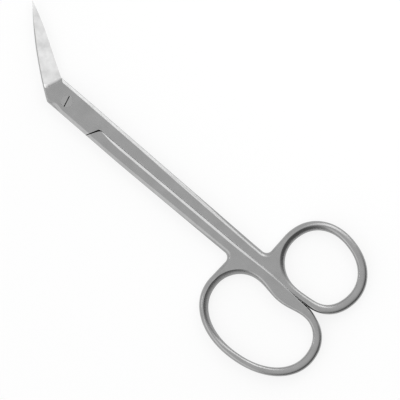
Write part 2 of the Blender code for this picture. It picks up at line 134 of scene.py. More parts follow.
# Meshes. MITRE_TURN is the sine of the least turn between two edges that are mitred at their corner.
MITRE_TURN = 0.2
RING_STEPS = 160
EDGE_STEPS = 24
BLADE_STEPS = 24
FILLET_STEPS = 12
SECTION_STEPS = 8
CREASE_STEPS = 3
SCREW_STEPS = 96
CUTTER_MARGIN = 1.0
WELD_REACH = 0.001
SHARP_ANGLE = math.radians(30)
DIRECTION_STEP = 0.001

# Steel. Noise scales are per metre, and noise is stretched from its usual range to those of tone and
# roughness. A painted highlight brightens the edges: it shows where the face, rounded over the reach
# below, turns away from its true direction, and the start and full values below are cosines of that
# turn.
NOISE_LOW = 0.3
NOISE_HIGH = 0.7
GRAIN_SCALE = 2600
GRAIN_DETAIL = 4
GRAIN_HEIGHT = 0.02
ROUGHNESS_SWING = 0.04
PATCH_DETAIL = 5
PATCH_ROUGHNESS = 0.62
EDGE_HIGHLIGHT_REACH = 0.12
EDGE_HIGHLIGHT_SAMPLES = 6
EDGE_HIGHLIGHT_STARTS = 0.999
EDGE_HIGHLIGHT_FULL = 0.97
GRIND_HEEL_SHADE = 0.62
GRIND_HEEL_EXIT_SHADE = 0.92

# Painted shade, dark in the screw's slot and the shoulder's groove
PAINTED_SHADE_DARKEST = 0.01
PAINTED_SHADE_PALEST = 0.05
PAINTED_SHADE_PATCH_SCALE = 1500
PAINTED_SHADE_ROUGHNESS = 0.8
PAINTED_SHADE_SPECULAR = 0.2

# The photograph's frame, with the pixel over the screw's axis and the angle of the X axis
FRAME_PIXELS = 400
MM_PER_PIXEL = 0.3568
PIVOT_PIXEL = (66.9, 101.5)
TURN = math.radians(40.1)

# Studio, with lengths in metres
CAMERA_HEIGHT = 1.6
CAMERA_REACH = 20.0
FLOOR_SIZE = 4.0
TABLE_WHITE = 0.96
TABLE_ROUGHNESS = 0.6
TABLE_SPECULAR = 0.2
TABLE_GLOW = 0.8
ROOM_LIGHT = 1.04
ROOM_DARK = 0.17
ROOM_DARK_FROM = 0.85

# A ring is an oval opening with a band around it. The swell moves the opening's lower side inwards,
# at a place and over a reach along its length. The rim is the opening's edge beside the shank.
Ring = namedtuple("Ring", "x y length width tilt squareness band_side band_end"
                          " swell swell_at swell_reach rim_drop rim_roundness")

# A half's turn is 1 for the one that lies on top, and -1 for the one that is turned over.
Half = namedtuple("Half", "name body turn edge other_edge ring crotch_x hole counterbore")

# A run is a stretch of the outline with its edges: how far they reach in and down at the top and at
# the bottom, how oval they are, and how wide the creases beside them are broken.
Run = namedtuple("Run", "points top_inset top_drop bottom_inset bottom_drop roundness crease",
                 defaults=(0, EDGE_DROP, 0, EDGE_DROP, 0, CREASE))

# A lamp is given in metres, degrees and watts. Azimuth 90 is over the +Y side.
Lamp = namedtuple("Lamp", "name aim_x azimuth elevation distance size power")

FRONT_RING = Ring(x=107.7, y=13.0, length=27.3, width=24.1, tilt=math.radians(-12.9),
                  squareness=2.18, band_side=3.15, band_end=3.7,
                  swell=1.5, swell_at=6.3, swell_reach=6.8, rim_drop=1.85, rim_roundness=0.3)
BACK_RING = Ring(x=103.2, y=15.1, length=40.3, width=28.8, tilt=math.radians(-5.2),
                 squareness=2.13, band_side=2.9, band_end=3.5,
                 swell=5.3, swell_at=2.1, swell_reach=11.9, rim_drop=2.0, rim_roundness=0.1)
FRONT = Half("front_half", "front", turn=1, edge=FRONT_EDGE, other_edge=BACK_EDGE,
             ring=FRONT_RING, crotch_x=FRONT_CROTCH_X, hole=NECK_DIAMETER, counterbore=True)
BACK = Half("back_half", "back", turn=-1, edge=BACK_EDGE, other_edge=FRONT_EDGE,
            ring=BACK_RING, crotch_x=BACK_CROTCH_X, hole=THREAD_DIAMETER, counterbore=False)

LAMPS = (
    Lamp("key", aim_x=-0.03, azimuth=95, elevation=28, distance=0.4, size=0.3, power=0.17),
    Lamp("edge_light", aim_x=-0.02, azimuth=92, elevation=8, distance=0.4, size=0.15, power=0.12),
    Lamp("band_light", aim_x=0.052, azimuth=90, elevation=50, distance=0.25, size=0.13, power=0.063),
    Lamp("right_side", aim_x=0.1, azimuth=90, elevation=20, distance=1.2, size=1.0, power=0.45),
    Lamp("left_side", aim_x=0.03, azimuth=-90, elevation=25, distance=0.9, size=0.9, power=1.27),
    Lamp("low_left", aim_x=0.1, azimuth=215, elevation=6, distance=0.5, size=0.12, power=0.09),
    Lamp("ring_light", aim_x=0.115, azimuth=92, elevation=16, distance=0.3, size=0.08, power=0.03),
)


# Curves in the plane

def smooth(value):
    """0 below 0, 1 above 1, and a smooth change between."""
    t = np.clip(value, 0, 1)
    return t * t * (3 - 2 * t)


def between(low, high, share):
    return low + (high - low) * share


def share_of(value, start, end):
    """How far the value has come from start to end, with a smooth start and end."""
    return smooth((value - start) / (end - start))


def arc(center, radius, start, end, steps):
    angles = np.linspace(start, end, steps + 1)
    return np.column_stack((center[0] + radius * np.cos(angles),
                            center[1] + radius * np.sin(angles)))


def circle(radius):
    return arc((0, 0), radius, 0, math.tau, SCREW_STEPS)[:-1]


def fillet(before, corner, after, radius, steps):
    """Points of the arc that rounds a corner between two straight lines."""
    before, corner, after = (np.array(p, float) for p in (before, corner, after))
    arriving = (corner - before) / np.linalg.norm(corner - before)
    leaving = (after - corner) / np.linalg.norm(after - corner)
    turn = math.atan2(arriving[0] * leaving[1] - arriving[1] * leaving[0], arriving @ leaving)
    start = corner - arriving * radius * math.tan(abs(turn) / 2)
    side = math.copysign(1, turn)
    center = start + side * radius * np.array((-arriving[1], arriving[0]))
    first = math.atan2(*(start - center)[::-1])
    return arc(center, radius, first, first + turn, steps)


def curve_at(start, corner, end, t):
    """The place at t, from 0 to 1, on a curve from start to end that bends towards the corner."""
    return (1 - t) ** 2 * start + 2 * t * (1 - t) * corner + t * t * end


def bend(start, start_way, end, end_way, steps):
    """A curve that leaves start along start_way and reaches end along end_way."""
    reach, _ = np.linalg.solve(np.column_stack((start_way, end_way)), end - start)
    corner = start + np.array(start_way) * reach
    return curve_at(start, corner, end, np.linspace(0, 1, steps + 1)[:, None])


def edge_height(edge, x):
    """How far a shank's outer edge lies from the X axis."""
    return np.interp(x, (0, WAIST_X, SHANK_END_X), edge)


def inner_height(half, x):
    """The shank's inner edge, which bends away with the parting line towards the rings."""
    dip = PARTING_DROP * share_of(x, PARTING_BEND_X, PARTING_END_X)
    return PARTING_GAP / 2 - half.turn * dip


# Finger rings

def opening_points(ring, angles):
    """A squarish oval whose lower side swells in, where the fingers bear on the shank."""
    c, s = np.cos(angles), np.sin(angles)
    a, b = ring.length / 2, ring.width / 2
    n = ring.squareness
    radius = (abs(c / a) ** n + abs(s / b) ** n) ** (-1 / n)
    u, v = radius * c, radius * s
    swell = ring.swell * np.exp(-(((u - ring.swell_at) / ring.swell_reach) ** 2))
    v = np.where(v < 0, v * (1 - swell / b), v)
    return np.column_stack((ring.x + u * math.cos(ring.tilt) - v * math.sin(ring.tilt),
                            ring.y + u * math.sin(ring.tilt) + v * math.cos(ring.tilt)))


def band_at(ring, angles):
    """The outward direction of the opening's edge, and the width of the band outside it."""
    along = opening_points(ring, angles + DIRECTION_STEP) - opening_points(ring, angles - DIRECTION_STEP)
    along /= np.linalg.norm(along, axis=1)[:, None]
    outward = np.column_stack((along[:, 1], -along[:, 0]))
    width = between(ring.band_side, ring.band_end, outward[:, 0] ** 2)
    return outward, width


def shank_side(angles):
    """1 where the ring leaves the shank, and 0 on its far half."""
    return smooth(-np.cos(angles))


def ring_outer(ring, angles):
    """The ring's outer edge."""
    outward, width = band_at(ring, angles)
    return opening_points(ring, angles) + outward * width[:, None]


# The half's outline

def blade_side(corner, bow, inset, steps):
    """Points from a corner of the bend to the tip, drawn in by an inset that fades out there."""
    share = np.linspace(0, 1, steps + 1)[:, None]
    chord = TIP - corner
    outward = np.array((-chord[1], chord[0])) / np.linalg.norm(chord)
    if corner[1] > 0:
        outward = -outward
    bulge = bow(share) - inset * smooth((1 - share) / OVERLAP_FADE)
    return corner + chord * share + outward * bulge


def spine_bow(share):
    """How far the spine bows out, which is most at half its length."""
    return SPINE_BOW * 4 * share * (1 - share)


def edge_belly(share):
    """How far the cutting edge bellies out, which is most a little past half its length."""
    return EDGE_BELLY * np.sin(math.pi * share ** BELLY_FORWARD)


def blade_sides(half):
    """The half's two blade sides in its own frame: tip to plate, and shank to tip."""
    if half.turn > 0:
        arriving = blade_side(BEND_OUTER, spine_bow, BLADE_OVERLAP, BLADE_STEPS)[::-1]
        leaving = blade_side(BEND_INNER, edge_belly, 0, BLADE_STEPS)
    else:
        arriving = blade_side(BEND_INNER, edge_belly, BLADE_OVERLAP, BLADE_STEPS)[::-1]
        leaving = blade_side(BEND_OUTER, spine_bow, 0, BLADE_STEPS)
    turned = np.array((1, half.turn))
    return arriving * turned, leaving * turned


def plate_edge(half, start_x):
    """The lap plate's far edge, with the step that lets the other cutting edge pass."""
    x = np.append(np.linspace(start_x, OVERLAP_STEP_END_X, 2 * FILLET_STEPS), SHOULDER_X)
    step = share_of(x, OVERLAP_STEP_START_X, OVERLAP_STEP_END_X)
    y = -edge_height(half.other_edge, x) + BLADE_OVERLAP * (1 - step)
    return np.column_stack((x, y))


def shoulder_notch(half, foot):
    """The plate's slanting end, with the rounding by which it meets the shank's inner edge."""
    rise = inner_height(half, SHOULDER_X) - foot[1]
    corner = foot + np.array((rise / math.tan(SHOULDER_ANGLE), rise))
    after = corner + np.array((1, 0))
    rounding = fillet(foot, corner, after, SHOULDER_NOTCH_RADIUS, FILLET_STEPS)
    return np.vstack((foot, rounding))


def ring_edge(half):
    """The ring's outer edge, from where the rings part to where its side leaves for the shank."""
    side = np.linspace(RING_SIDE_FROM, RING_SIDE_TO, RING_SIDE_STEPS)
    last = side[np.argmin(ring_outer(half.ring, side)[:, 0])]
    angles = np.linspace(RING_PARTING_ANGLE, last, RING_STEPS)
    return angles, ring_outer(half.ring, angles)


def inner_edge(half, start, ring):
    """The shank's inner edge, from the shoulder to the ring."""
    x = np.linspace(start[0], PARTING_END_X, EDGE_STEPS)
    straight = np.column_stack((x, inner_height(half, x)))
    blend = bend(straight[-1], (1, 0), ring[0], ring[1] - ring[0], FILLET_STEPS)
    return np.vstack((straight, blend[1:]))


def crotch_edge(half, ring):
    """The ring's side and the rounding by which it meets the shank's outer edge."""
    foot = np.array((half.crotch_x, edge_height(half.edge, half.crotch_x)))
    along = np.array((WAIST_X, edge_height(half.edge, WAIST_X)))
    return np.vstack((ring[-1], fillet(ring[-1], foot, along, CROTCH_RADIUS, FILLET_STEPS)))


# Runs of the outline, with the edges between the side and the flat faces

def edge_roundness(x):
    """How oval an outer edge is: 0 is a flat chamfer, and 1 is a full oval rounding."""
    shank = share_of(x, WAIST_X, SHANK_END_X)
    ring = share_of(x, SHANK_END_X, ROUNDING_FULL_X)
    return between(SHANK_ROUNDNESS * shank, 1, ring)


def even_run(points, inset, drop, roundness):
    """A run that has the same edge at its top and its bottom."""
    return Run(points, inset, drop, inset, drop, roundness)


def plate_run(points):
    """The plate's far edge, whose chamfer starts narrow at the bend."""
    grown = share_of(points[:, 0], points[0][0], points[0][0] + PLATE_CHAMFER_RUN)
    return Run(points, top_inset=between(PLATE_CHAMFER_START, PLATE_CHAMFER, grown))


def inner_run(half, points):
    """The shank's inner edge: a chamfer that narrows, and then goes over into the ring's rounding."""
    x = points[:, 0]
    narrow = share_of(x, INNER_NARROWING_START_X, INNER_NARROWING_END_X)
    chamfer = between(INNER_CHAMFER_NEAR, INNER_CHAMFER_FAR, narrow)
    chamfer[0] = INNER_CHAMFER_START
    full = (half.ring.band_side - RING_CROWN) / 2
    part = share_of(x, ROUNDING_START_X, ROUNDING_FULL_X)
    return Run(points,
               top_inset=full * part,
               top_drop=between(EDGE_DROP, RING_DROP, part),
               bottom_inset=between(chamfer, full, part),
               bottom_drop=between(chamfer * math.tan(INNER_SLOPE), RING_DROP, part),
               roundness=part,
               crease=between(INNER_CREASE, CREASE, part))


def ring_run(half, angles, points):
    """The ring's outer edge. Its rounding grows until it is full, and is narrower by the shank."""
    part = share_of(points[:, 0], ROUNDING_START_X, ROUNDING_FULL_X)
    part[np.argmax(part):] = 1
    width = (band_at(half.ring, angles)[1] - RING_CROWN) / 2
    inset = part * (width - RIM_SHIFT_AT_SHANK * shank_side(angles))
    drop = between(INNER_CHAMFER_FAR * math.tan(INNER_SLOPE), RING_DROP, part)
    return even_run(points, inset, drop, edge_roundness(points[:, 0]))


def shank_run(x, points):
    """The shank's outer edge, which gets wider and deeper towards the ring."""
    wide = share_of(x, WAIST_X, WAIST_X + EDGE_ROUNDING_REACH)
    deep = share_of(x, EDGE_DEEPENING_X, SHANK_END_X)
    return even_run(points, between(EDGE_ROUNDING_NEAR, EDGE_ROUNDING_FAR, wide),
                    between(EDGE_DROP, RING_DROP, deep), edge_roundness(x))


def half_runs(half):
    """The half's outline from its tip, anticlockwise in its own frame."""
    arriving, leaving = blade_sides(half)
    plate = plate_edge(half, arriving[-1][0])
    arriving[-1] = plate[0]
    notch = shoulder_notch(half, plate[-1])
    angles, ring = ring_edge(half)
    inner = inner_run(half, inner_edge(half, notch[-1], ring))
    crotch = crotch_edge(half, ring)
    shank_x = np.linspace(crotch[-1][0], leaving[0][0], EDGE_STEPS)
    shank = np.column_stack((shank_x, edge_height(half.edge, shank_x)))
    corner = leaving[:1]
    if half.turn < 0:
        corner = fillet(shank[-2], shank[-1], leaving[1], BEND_OUTER_RADIUS, FILLET_STEPS)
        shank[-1] = corner[0]
        leaving[0] = corner[-1]
    return [
        Run(arriving),
        plate_run(plate),
        Run(notch, bottom_drop=inner.bottom_drop[0], crease=INNER_CREASE),
        inner,
        ring_run(half, angles, ring),
        even_run(crotch, EDGE_ROUNDING_FAR, RING_DROP, edge_roundness(crotch[:, 0])),
        shank_run(shank_x, shank),
        Run(corner),
        Run(leaving),
    ]


def join_runs(runs):
    """One closed loop. Each run's last point is the next one's first, and counts once."""
    joined = [np.vstack([run.points[:-1] for run in runs])]
    for field in Run._fields[1:]:
        joined.append(np.concatenate([
            np.broadcast_to(getattr(run, field), len(run.points))[:-1] for run in runs
        ]))
    return Run(*joined)


# Sections and solids

def inset_directions(points, inset):
    """How far each point moves when each edge of an anticlockwise loop moves in by its inset."""
    edges = np.roll(points, -1, axis=0) - points
    edges /= np.linalg.norm(edges, axis=1)[:, None]
    inward = np.column_stack((-edges[:, 1], edges[:, 0]))
    before, inset_before = np.roll(inward, 1, axis=0), np.roll(inset, 1)
    moves = np.empty_like(points)
    for i, (one, other) in enumerate(zip(before, inward)):
        if abs(one[0] * other[1] - one[1] * other[0]) > MITRE_TURN:
            moves[i] = np.linalg.solve((one, other), (inset_before[i], inset[i]))
        else:
            mean = (one + other) / 2
            moves[i] = mean / (mean @ mean) * (inset_before[i] + inset[i]) / 2
    return moves


def broken_corner(start, corner, end):
    """Rows of a small rounding from start to end, in place of the corner between them."""
    return [curve_at(start, corner, end, t) for t in np.linspace(0, 1, CREASE_STEPS + 1)]


def step_toward(corner, target, distance):
    """The points at a distance from the corner, on its way to the target."""
    way = target - corner
    share = np.minimum(1, distance / np.linalg.norm(way, axis=1))
    return corner + way * share[:, None]


def section(loop, top_moves, bottom_moves, crease_moves):
    """Rows of points from the bottom face up the side to the top face.

    The edge between the side and a face is a chamfer, a squarish oval or something between, and
    the creases on both sides of it are broken by small roundings.
    """
    rows = []
    power = 2 / RING_SECTION_SQUARENESS
    crease = np.broadcast_to(loop.crease, len(loop.points))
    for face, moves, drop in ((-1, bottom_moves, loop.bottom_drop), (1, top_moves, loop.top_drop)):
        side = []
        for t in np.linspace(0, 1, SECTION_STEPS + 1):
            angle = t * math.pi / 2
            inward = between(t, 1 - math.cos(angle) ** power, loop.roundness)
            upward = between(t, math.sin(angle) ** power, loop.roundness)
            height = THICKNESS / 2 + face * (THICKNESS / 2 - drop * (1 - upward))
            side.append(np.column_stack((loop.points + moves * inward[:, None], height)))
        lower, upper = side.pop(0), side.pop()
        below = lower - crease[:, None] * (0, 0, face)
        flat = upper.copy()
        flat[:, :2] += crease_moves
        side = (broken_corner(below, lower, step_toward(lower, side[0], crease)) + side
                + broken_corner(step_toward(upper, side[-1], crease), upper, flat))
        rows += side[::-1] if face < 0 else side
    return rows


def outline_rows(half):
    """Rows of points over the half's outer side."""
    outline = join_runs(half_runs(half))
    return section(outline, inset_directions(outline.points, outline.top_inset),
                   inset_directions(outline.points, outline.bottom_inset),
                   inset_directions(outline.points, outline.crease))


def rim_rows(half):
    """Rows of points over the wall of the ring's opening, which is dished beside the shank."""
    angles = np.linspace(0, math.tau, RING_STEPS, endpoint=False)
    outward, width = band_at(half.ring, angles)
    near = shank_side(angles)
    inset = (width - RING_CROWN) / 2 + RIM_SHIFT_AT_SHANK * near
    rim = even_run(opening_points(half.ring, angles), inset,
                   between(RING_DROP, half.ring.rim_drop, near),
                   between(1, half.ring.rim_roundness, near))
    moves = outward * inset[:, None]
    return [row[::-1] for row in section(rim, moves, moves, outward * CREASE)]


def flat_row(outline, height):
    return np.column_stack((outline, np.full(len(outline), height)))


def finish_object(name, bm):
    mesh = bpy.data.meshes.new(name)
    bm.to_mesh(mesh)
    bm.free()
    made = bpy.data.objects.new(name, mesh)
    bpy.context.scene.collection.objects.link(made)
    return made


def solid(name, loops):
    """A closed mesh between two flat faces. Each loop is its rows of points, bottom to top."""
    bm = bmesh.new()
    caps = {0: [], -1: []}
    for rows in loops:
        rings = [[bm.verts.new(point * MM) for point in row] for row in rows]
        for lower, upper in zip(rings, rings[1:]):
            for i in range(len(lower)):
                j = (i + 1) % len(lower)
                bm.faces.new((lower[i], lower[j], upper[j], upper[i]))
        for level in caps:
            row = rings[level]
            caps[level] += [bm.edges.get((row[i - 1], row[i])) for i in range(len(row))]
    for edges in caps.values():
        bmesh.ops.triangle_fill(bm, edges=edges, use_beauty=True)
    bmesh.ops.recalc_face_normals(bm, faces=bm.faces)
    return finish_object(name, bm)


def prism(name, outline, low, high):
    outline = np.asarray(outline, float)
    return solid(name, [[flat_row(outline, low), flat_row(outline, high)]])


def rod(name, radius, low, high):
    return prism(name, circle(radius), low, high)


def loft(name, profiles):
    """A closed solid through a row of outlines that have equally many points."""
    bm = bmesh.new()
    rows = [[bm.verts.new(np.array(point) * MM) for point in profile] for profile in profiles]
    for first, second in zip(rows, rows[1:]):
        for i in range(len(first)):
            j = (i + 1) % len(first)
            bm.faces.new((first[i], first[j], second[j]))
            bm.faces.new((first[i], second[j], second[i]))
    for end in (rows[0], rows[-1]):
        bm.faces.new(end)
    bmesh.ops.recalc_face_normals(bm, faces=bm.faces)
    return finish_object(name, bm)


# Cuts

def cut(target, cutter, material):
    """Adds a cut, which settle() makes. The faces that it leaves get the material."""
    cutter.data.materials.append(material)
    modifier = target.modifiers.new(cutter.name, "BOOLEAN")
    modifier.operation = "DIFFERENCE"
    modifier.solver = "EXACT"
    modifier.material_mode = "TRANSFER"
    modifier.object = cutter


def weld(mesh):
    """Joins the doubled points that the cuts leave, and removes faces with no area."""
    bm = bmesh.new()
    bm.from_mesh(mesh)
    bmesh.ops.remove_doubles(bm, verts=bm.verts, dist=WELD_REACH * MM)
    bmesh.ops.dissolve_degenerate(bm, edges=bm.edges, dist=WELD_REACH * MM)
    bm.to_mesh(mesh)
    bm.free()


def settle(made):
    """Applies the cuts, removes the cutters and smooths what isn't an edge."""
    cutters = [modifier.object for modifier in made.modifiers]
    graph = bpy.context.evaluated_depsgraph_get()
    mesh = bpy.data.meshes.new_from_object(made.evaluated_get(graph))
    weld(mesh)
    made.modifiers.clear()
    made.data = mesh
    mesh.name = made.name
    for cutter in cutters:
        bpy.data.objects.remove(cutter)
    mesh.shade_smooth()
    mesh.set_sharp_from_angle(angle=SHARP_ANGLE)
    weighted = made.modifiers.new("face_weights", "WEIGHTED_NORMAL")
    weighted.keep_sharp = True


def shoulder_line(half):
    """The wall that the other half's plate stops at, from the shank's outer edge inwards."""
    slant = np.array((math.cos(SHOULDER_WALL_ANGLE), -math.sin(SHOULDER_WALL_ANGLE)))
    head = np.array((SHOULDER_X + SHOULDER_GAP / math.sin(SHOULDER_ANGLE),
                     edge_height(half.edge, SHOULDER_X)))
    fall = head[1] - inner_height(half, SHOULDER_X) - SHOULDER_CORNER_RISE
    corner = head + slant * fall / math.sin(SHOULDER_WALL_ANGLE)
    leaving = np.array((math.cos(SHOULDER_EXIT_ANGLE), -math.sin(SHOULDER_EXIT_ANGLE)))
    exit_point = corner + leaving * SHOULDER_CORNER_RADIUS
    rounding = fillet(head, corner, exit_point, SHOULDER_CORNER_RADIUS, FILLET_STEPS)
    return np.vstack((head - slant * THICKNESS, rounding, exit_point))


def lap_cutter(half):
    """The space that the other half's blade and lap plate turn in."""
    wall = shoulder_line(half)
    room = -TIP[0] + THICKNESS
    outline = np.vstack((wall, (wall[-1][0], -room), (-room, -room), (-room, room),
                         (wall[0][0], room)))
    return prism(half.name + "_lap_cutter", outline, -THICKNESS, PLATE_FLOOR)


def groove_cutter(half):
    """A shallow groove at the foot of the shoulder's wall, whose faces take the painted shade."""
    wall = shoulder_line(half)
    outline = np.vstack((wall, (wall - (SHOULDER_GROOVE_WIDTH, 0))[::-1]))
    return prism(half.name + "_groove_cutter", outline, PLATE_FLOOR - CUTTER_MARGIN,
                 PLATE_FLOOR + SHOULDER_GROOVE_DEPTH)


def grind_heel():
    """The line where the ground face ends, from the bend's inner side round to its outer side."""
    way = np.array((math.cos(GRIND_HEEL_ANGLE), math.sin(GRIND_HEEL_ANGLE)))
    leaving = -np.array((math.cos(GRIND_HEEL_EXIT_ANGLE), math.sin(GRIND_HEEL_EXIT_ANGLE)))
    corner = np.array((GRIND_HEEL_X, GRIND_HEEL_Y))
    start = corner + way * GRIND_HEEL_REACH
    end = corner + leaving * GRIND_HEEL_REACH / 2
    rounding = fillet(start, corner, end, GRIND_HEEL_RADIUS, FILLET_STEPS)
    return np.vstack((start, rounding, end))


def grind_height(half):
    """The ground face's plane: height over X and Y, falling from the spine to the cutting edge."""
    cutting_edge, spine = (BEND_INNER, BEND_OUTER) if half.turn > 0 else (BEND_OUTER, BEND_INNER)
    heights = (PLATE_FLOOR + CUTTING_LAND, THICKNESS - GRIND_SPINE_DEPTH,
               PLATE_FLOOR + TIP_THICKNESS)
    known = np.column_stack((np.array((cutting_edge, spine, TIP)), np.ones(3)))
    slope_x, slope_y, level = np.linalg.solve(known, heights)
    return lambda point: slope_x * point[0] + slope_y * point[1] + level


def grind_cutter(half):
    """The space outside the blade's ground face, with the run-out that the wheel leaves."""
    height = grind_height(half)
    middle = (BEND_INNER + BEND_OUTER) / 2
    toward_tip = (TIP - middle) / np.linalg.norm(TIP - middle)
    outside = THICKNESS + CUTTER_MARGIN
    profiles = []
    for heel in grind_heel():
        points = [(*heel, outside)]
        for t in np.linspace(0, 1, FILLET_STEPS):
            place = heel + toward_tip * GRIND_RUNOUT * t
            points.append((*place, between(height(place), THICKNESS, (1 - t) ** 2)))
        end = heel + toward_tip * GRIND_LENGTH
        points += [(*end, height(end)), (*end, outside)]
        profiles.append(np.array(points) * (1, half.turn, 1))
    return loft(half.name + "_grind_cutter", profiles)


# Materials

def new_material(name):
    """A material, its nodes, its links and its shader."""
    material = bpy.data.materials.new(name)
    material.use_nodes = True
    tree = material.node_tree
    return material, tree.nodes, tree.links, tree.nodes["Principled BSDF"]


def place_on_object(nodes):
    return nodes.new("ShaderNodeTexCoord").outputs["Object"]


def noise(nodes, links, place, scale):
    """A noise node of the given scale, read at a place."""
    made = nodes.new("ShaderNodeTexNoise")
    made.inputs["Scale"].default_value = scale
    links.new(place, made.inputs["Vector"])
    return made


def mapped(nodes, links, value, source, target, kind="LINEAR"):
    """The value, changed so that the source range becomes the target range, and held inside it."""
    made = nodes.new("ShaderNodeMapRange")
    made.interpolation_type = kind
    made.inputs["From Min"].default_value, made.inputs["From Max"].default_value = source
    made.inputs["To Min"].default_value, made.inputs["To Max"].default_value = target
    links.new(value, made.inputs["Value"])
    return made.outputs["Result"]


def dot_product(nodes, links, vector):
    """A dot product node with its first vector linked."""
    made = nodes.new("ShaderNodeVectorMath")
    made.operation = "DOT_PRODUCT"
    links.new(vector, made.inputs[0])
    return made


def scaled(nodes, links, factor):
    """A node that multiplies a colour by the factor."""
    made = nodes.new("ShaderNodeVectorMath")
    made.operation = "SCALE"
    links.new(factor, made.inputs["Scale"])
    return made


def painted_edge_highlight(nodes, links, gain):
    """A factor for the tone that paints a highlight: 1 on open faces and more along edges, where a
    rounded edge catches the light.
    """
    rounded = nodes.new("ShaderNodeBevel")
    rounded.samples = EDGE_HIGHLIGHT_SAMPLES
    rounded.inputs["Radius"].default_value = EDGE_HIGHLIGHT_REACH * MM
    geometry = nodes.new("ShaderNodeNewGeometry")
    likeness = dot_product(nodes, links, rounded.outputs["Normal"])
    links.new(geometry.outputs["Normal"], likeness.inputs[1])
    return mapped(nodes, links, likeness.outputs["Value"], (EDGE_HIGHLIGHT_STARTS, EDGE_HIGHLIGHT_FULL), (1, gain))


def steel(name, tone, roughness, grain, grain_stretch, mottle, patch_scale, highlight_gain):
    """Satin steel: fine grain, soft patches of tone and roughness, and a painted highlight along the
    edges.
    """
    material, nodes, links, shader = new_material(name)
    shader.inputs["Metallic"].default_value = 1
    place = place_on_object(nodes)
    stretch = nodes.new("ShaderNodeMapping")
    stretch.inputs["Scale"].default_value = grain_stretch
    links.new(place, stretch.inputs["Vector"])
    fine = noise(nodes, links, stretch.outputs["Vector"], GRAIN_SCALE)
    fine.inputs["Detail"].default_value = GRAIN_DETAIL
    patches = noise(nodes, links, place, patch_scale)
    patches.inputs["Detail"].default_value = PATCH_DETAIL
    patches.inputs["Roughness"].default_value = PATCH_ROUGHNESS

    usual = (NOISE_LOW, NOISE_HIGH)
    tint = scaled(nodes, links,
                  mapped(nodes, links, patches.outputs["Fac"], usual, (1 - mottle, 1 + mottle)))
    tint.inputs[0].default_value = (tone, tone, tone)
    # A painted highlight brightens the tone along the edges.
    highlighted = scaled(nodes, links, painted_edge_highlight(nodes, links, highlight_gain))
    links.new(tint.outputs["Vector"], highlighted.inputs[0])
    links.new(highlighted.outputs["Vector"], shader.inputs["Base Color"])

    polish = (roughness - ROUGHNESS_SWING, roughness + ROUGHNESS_SWING)
    links.new(mapped(nodes, links, fine.outputs["Fac"], usual, polish), shader.inputs["Roughness"])

    bump = nodes.new("ShaderNodeBump")
    bump.inputs["Strength"].default_value = grain
    bump.inputs["Distance"].default_value = GRAIN_HEIGHT * MM
    links.new(fine.outputs["Fac"], bump.inputs["Height"])
    links.new(bump.outputs["Normal"], shader.inputs["Normal"])
    return material


def painted_heel_shade(material):
    """Painted shade: the ground face's colour darkens where it runs out into the lap plate, where its
    rounding would be shaded.
    """
    nodes, links = material.node_tree.nodes, material.node_tree.links
    base = nodes["Principled BSDF"].inputs["Base Color"]
    place = place_on_object(nodes)
    for angle, shade in ((GRIND_HEEL_ANGLE, GRIND_HEEL_SHADE),
                         (GRIND_HEEL_EXIT_ANGLE, GRIND_HEEL_EXIT_SHADE)):
        away = np.array((-math.sin(angle), math.cos(angle)))
        heel = away @ (GRIND_HEEL_X, GRIND_HEEL_Y)
        distance = dot_product(nodes, links, place)
        distance.inputs[1].default_value = (*away, 0)
        bright = mapped(nodes, links, distance.outputs["Value"],
                        (heel * MM, (heel + GRIND_RUNOUT) * MM), (shade, 1), "SMOOTHSTEP")
        darken = scaled(nodes, links, bright)
        links.new(base.links[0].from_socket, darken.inputs[0])
        links.new(darken.outputs["Vector"], base)


def painted_shade_material():
    """Painted shade for the slot and the shoulder's foot: dull, near black and uneven, where shade
    falls.
    """
    material, nodes, links, shader = new_material("painted_shade")
    shader.inputs["Roughness"].default_value = PAINTED_SHADE_ROUGHNESS
    shader.inputs["Specular IOR Level"].default_value = PAINTED_SHADE_SPECULAR
    patches = noise(nodes, links, place_on_object(nodes), PAINTED_SHADE_PATCH_SCALE)
    tone = mapped(nodes, links, patches.outputs["Fac"], (0, 1), (PAINTED_SHADE_DARKEST, PAINTED_SHADE_PALEST))
    tint = nodes.new("ShaderNodeCombineColor")
    for channel in ("Red", "Green", "Blue"):
        links.new(tone, tint.inputs[channel])
    links.new(tint.outputs["Color"], shader.inputs["Base Color"])
    return material


# Pieces

def turn_over(made):
    """Turns a half over about the X axis, which puts its lap plate underneath."""
    vertices = made.data.vertices
    places = np.empty(len(vertices) * 3)
    vertices.foreach_get("co", places)
    places = places.reshape(-1, 3) * (1, -1, -1) + (0, 0, THICKNESS * MM)
    vertices.foreach_set("co", places.ravel())
    made.data.update()


def build_half(half, satin, ground, lap, painted_shade):
    """Blade, lap plate, shank and ring in one piece, with the screw's holes."""
    made = solid(half.name + "_steel", [outline_rows(half), rim_rows(half)])
    made.data.materials.append(satin)
    outside = THICKNESS + CUTTER_MARGIN
    cut(made, lap_cutter(half), lap)
    # The groove's faces take the painted shade.
    cut(made, groove_cutter(half), painted_shade)
    cut(made, grind_cutter(half), ground)
    cut(made, rod(half.name + "_bore", half.hole / 2 + SCREW_GAP, -CUTTER_MARGIN, outside), lap)
    if half.counterbore:
        seat = THICKNESS - HEAD_DEPTH - SCREW_GAP
        cut(made, rod(half.name + "_seat", HEAD_DIAMETER / 2 + SCREW_GAP, seat, outside), lap)
    settle(made)
    if half.turn < 0:
        turn_over(made)
    return made


